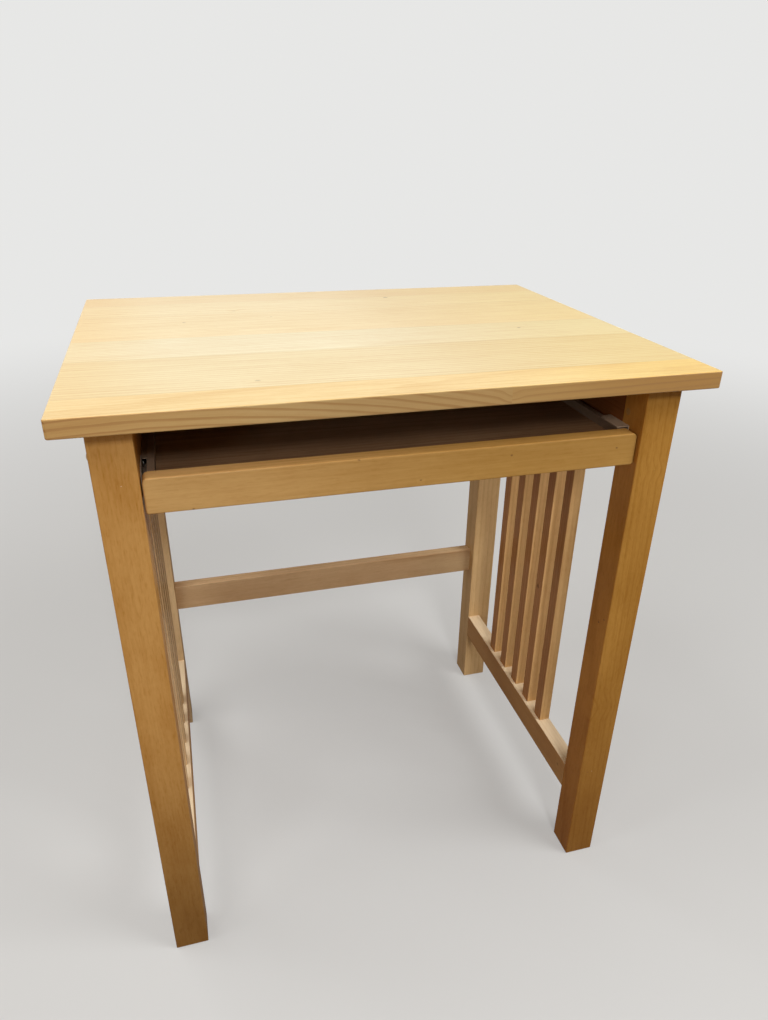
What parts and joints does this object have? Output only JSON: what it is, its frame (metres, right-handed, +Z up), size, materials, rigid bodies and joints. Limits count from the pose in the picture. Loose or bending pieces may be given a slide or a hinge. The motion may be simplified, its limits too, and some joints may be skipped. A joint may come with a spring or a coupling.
{
  "type": "sewing desk",
  "caption": "Small wooden desk with square legs, slatted sides, a glued-board top and a shallow pull-out tray on roller runners.",
  "frame": {"origin": "on the floor, under the middle of the desktop", "axes": "+X to the right seen from the sitter's side, +Y to the back, +Z up"},
  "size_m": [0.68, 0.533, 0.762],
  "materials": {
    "desktop_wood": "clear lacquer, satin, light maple boards",
    "leg_wood": "clear lacquer, satin, honey tone",
    "rail_wood": "clear lacquer, satin, honey tone",
    "slat_wood": "clear lacquer, satin, honey tone",
    "peg_wood": "clear lacquer over pale turned wood",
    "tray_wood": "clear lacquer, satin, honey tone",
    "runner_paint": "pale brown epoxy coat on folded steel",
    "roller_nylon": "dark brown nylon",
    "axle_steel": "zinc-plated rivet",
    "screw_steel": "zinc-plated steel"
  },
  "bodies": {
    "frame": {"desktop_board_1": "desktop_wood", "desktop_board_2": "desktop_wood", "desktop_board_3": "desktop_wood", "desktop_board_4": "desktop_wood", "desktop_board_5": "desktop_wood", "desktop_board_6": "desktop_wood", "front_left_leg": "leg_wood", "front_right_leg": "leg_wood", "back_left_leg": "leg_wood", "back_right_leg": "leg_wood", "left_lower_rail": "rail_wood", "right_lower_rail": "rail_wood", "left_upper_rail": "rail_wood", "right_upper_rail": "rail_wood", "left_slat_1": "slat_wood", "left_slat_2": "slat_wood", "left_slat_3": "slat_wood", "left_slat_4": "slat_wood", "left_slat_5": "slat_wood", "right_slat_1": "slat_wood", "right_slat_2": "slat_wood", "right_slat_3": "slat_wood", "right_slat_4": "slat_wood", "right_slat_5": "slat_wood", "back_stretcher": "rail_wood", "back_top_rail": "rail_wood", "left_fixed_runner": "runner_paint", "right_fixed_runner": "runner_paint", "rail_pegs": "peg_wood", "front_roller_axles": "axle_steel", "fixed_runner_screws": "screw_steel", "desktop_screws": "screw_steel"},
    "tray": {"tray_front_board": "tray_wood", "tray_panel": "tray_wood", "left_tray_runner": "runner_paint", "right_tray_runner": "runner_paint", "tray_dowels": "peg_wood", "rear_roller_axles": "axle_steel", "tray_runner_screws": "screw_steel"},
    "left_front_roller": {"left_front_roller": "roller_nylon"},
    "right_front_roller": {"right_front_roller": "roller_nylon"},
    "left_rear_roller": {"left_rear_roller": "roller_nylon"},
    "right_rear_roller": {"right_rear_roller": "roller_nylon"}
  },
  "joints": [
    {"name": "tray_slide", "type": "slide", "parent": "frame", "child": "tray", "axis": [0, -1, 0], "range_m": [0, 0.3]},
    {"name": "left_front_roller_spin", "type": "hinge", "parent": "frame", "child": "left_front_roller", "pos_m": [-0.2644, -0.201, 0.6745], "axis": [1, 0, 0], "range_deg": [0, 1719]},
    {"name": "right_front_roller_spin", "type": "hinge", "parent": "frame", "child": "right_front_roller", "pos_m": [0.2644, -0.201, 0.6745], "axis": [1, 0, 0], "range_deg": [0, 1719]},
    {"name": "left_rear_roller_spin", "type": "hinge", "parent": "tray", "child": "left_rear_roller", "pos_m": [-0.2616, 0.1695, 0.6705], "axis": [1, 0, 0], "range_deg": [0, 1719]},
    {"name": "right_rear_roller_spin", "type": "hinge", "parent": "tray", "child": "right_rear_roller", "pos_m": [0.2616, 0.1695, 0.6705], "axis": [1, 0, 0], "range_deg": [0, 1719]}
  ],
  "couplings": [
    {"joint": "left_front_roller_spin", "follows": "tray_slide", "rad_per_m": 100},
    {"joint": "right_front_roller_spin", "follows": "tray_slide", "rad_per_m": 100},
    {"joint": "left_rear_roller_spin", "follows": "tray_slide", "rad_per_m": 100},
    {"joint": "right_rear_roller_spin", "follows": "tray_slide", "rad_per_m": 100}
  ]
}
